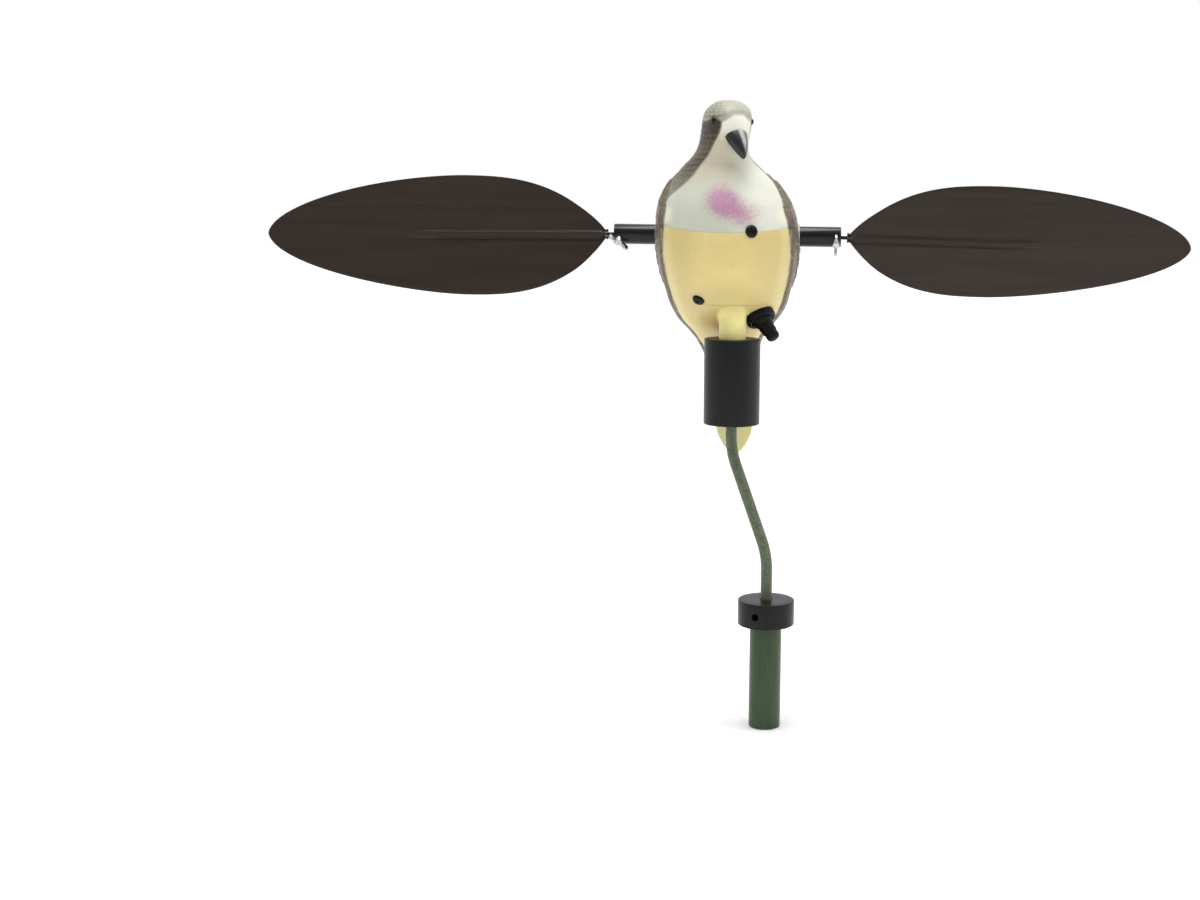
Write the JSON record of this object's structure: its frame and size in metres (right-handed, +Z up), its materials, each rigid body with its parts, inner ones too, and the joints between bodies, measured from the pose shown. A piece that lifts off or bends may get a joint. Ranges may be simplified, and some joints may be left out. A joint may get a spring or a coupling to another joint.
{
  "type": "motion dove decoy",
  "caption": "Upright moulded dove decoy with spinning leaf-shaped wing blades on a cross shaft, standing in a socket on a bent rod whose collar plugs into a pole.",
  "frame": {"origin": "centre of the pole's cut lower end, where it meets the ground stake or the next length of pole", "axes": "+Z up along the pole, the dove faces -Y, +X is the dove's left, and the wing shaft lies along X"},
  "size_m": [0.6462, 0.1683, 0.4348],
  "materials": {
    "painted_plastic": "airbrushed moulded plastic: grey-white breast with a pink spot, dark grey-brown back, black beak",
    "yellow_plastic": "satin pale yellow moulded plastic",
    "black_rubber": "dull black rubber",
    "black_tube": "gloss black",
    "zinc": "zinc plated steel",
    "dark_steel": "blackened steel",
    "blade_brown": "satin dark brown paint with fine lengthwise streaks, pale on the back",
    "charcoal": "satin charcoal turned plastic",
    "olive_coat": "textured olive powder coat",
    "green_paint": "satin green paint",
    "pale_nylon": "pale grey nylon"
  },
  "bodies": {
    "root": {"pole": "green_paint", "collar_plug": "charcoal", "bent_rod": "olive_coat", "socket": "charcoal", "dove_body": "painted_plastic", "belly_cover": "yellow_plastic", "cover_screw_upper": "dark_steel", "cover_screw_lower": "dark_steel", "switch_base": "black_rubber", "bushing_left": "pale_nylon", "bushing_right": "pale_nylon"},
    "wings": {"hub_left": "black_tube", "hub_right": "black_tube", "wing_wire_left": "dark_steel", "wing_wire_right": "dark_steel", "wing_blade_left": "blade_brown", "wing_blade_right": "blade_brown", "thumb_screw_left": "zinc", "thumb_screw_right": "zinc"},
    "switch": {"switch_lever": "black_rubber"}
  },
  "joints": [
    {"name": "wing_spin", "type": "hinge", "parent": "root", "child": "wings", "pos_m": [-0.0314, 0.0375, 0.343], "axis": [1, 0, 0], "continuous": true},
    {"name": "switch_toggle", "type": "hinge", "parent": "root", "child": "switch", "pos_m": [-0.00665, 0.03525, 0.28551], "axis": [-0.5059, 0.5494, -0.665], "range_deg": [0, 20]}
  ]
}
